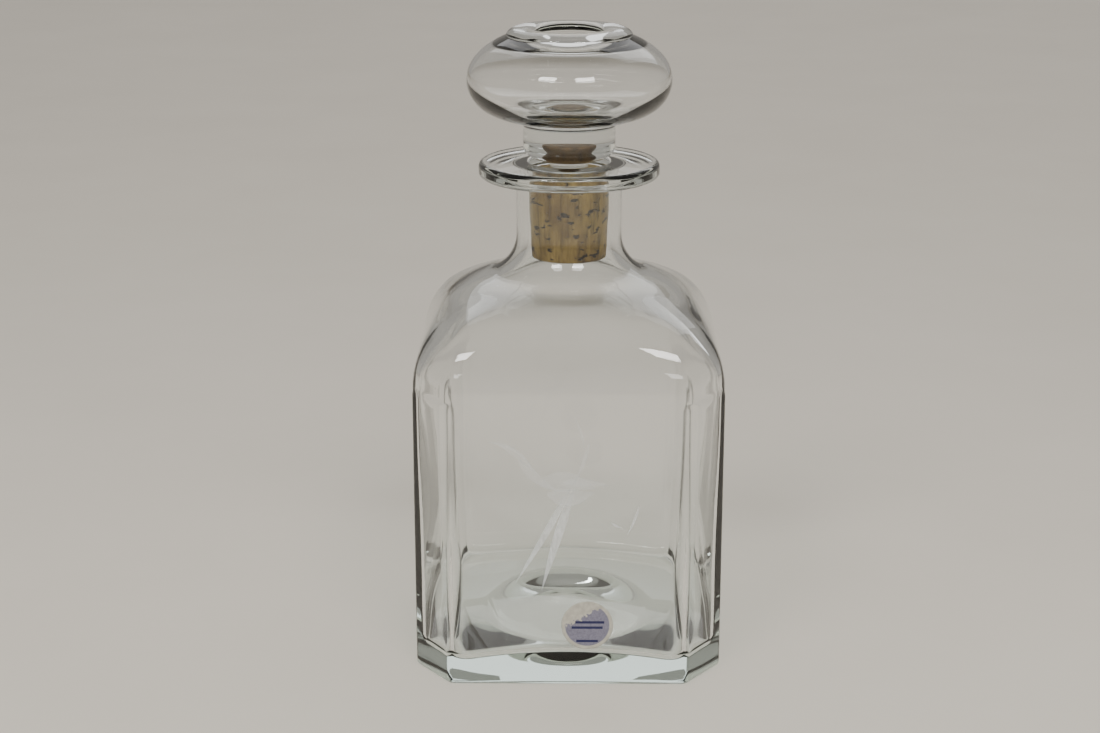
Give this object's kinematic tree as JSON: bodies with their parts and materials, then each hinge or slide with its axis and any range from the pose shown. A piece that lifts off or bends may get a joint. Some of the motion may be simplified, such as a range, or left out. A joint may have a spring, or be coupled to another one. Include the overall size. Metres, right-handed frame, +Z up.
{
  "type": "stoppered glass decanter",
  "caption": "Square clear glass decanter with chamfered corners, disc lip and a hollow glass stopper knob on a tapered cork that lifts out of the neck.",
  "frame": {"origin": "middle of the base, on the plane the bottle stands on; the neck's axis is the Z axis", "axes": "+Z up through the neck; the front face with the engraving and the label looks along -Y; +X to the right seen from the front"},
  "size_m": [0.096, 0.0961, 0.198],
  "materials": {
    "bottle_glass": "clear blown glass, faint grey-green in the thick base",
    "knob_glass": "clear blown glass, polished",
    "cork": "natural cork, dry, with dark pores",
    "paper": null
  },
  "bodies": {
    "bottle": {"bottle": "bottle_glass", "label": "paper"},
    "cork": {"cork": "cork"},
    "knob": {"stopper_knob": "knob_glass"}
  },
  "joints": [
    {"name": "stopper_lift", "type": "slide", "parent": "bottle", "child": "cork", "axis": [0, 0, 1], "range_m": [0, 0.08]},
    {"name": "stopper_twist", "type": "hinge", "parent": "cork", "child": "knob", "pos_m": [0, 0, 0.15], "axis": [0, 0, 1], "continuous": true}
  ]
}
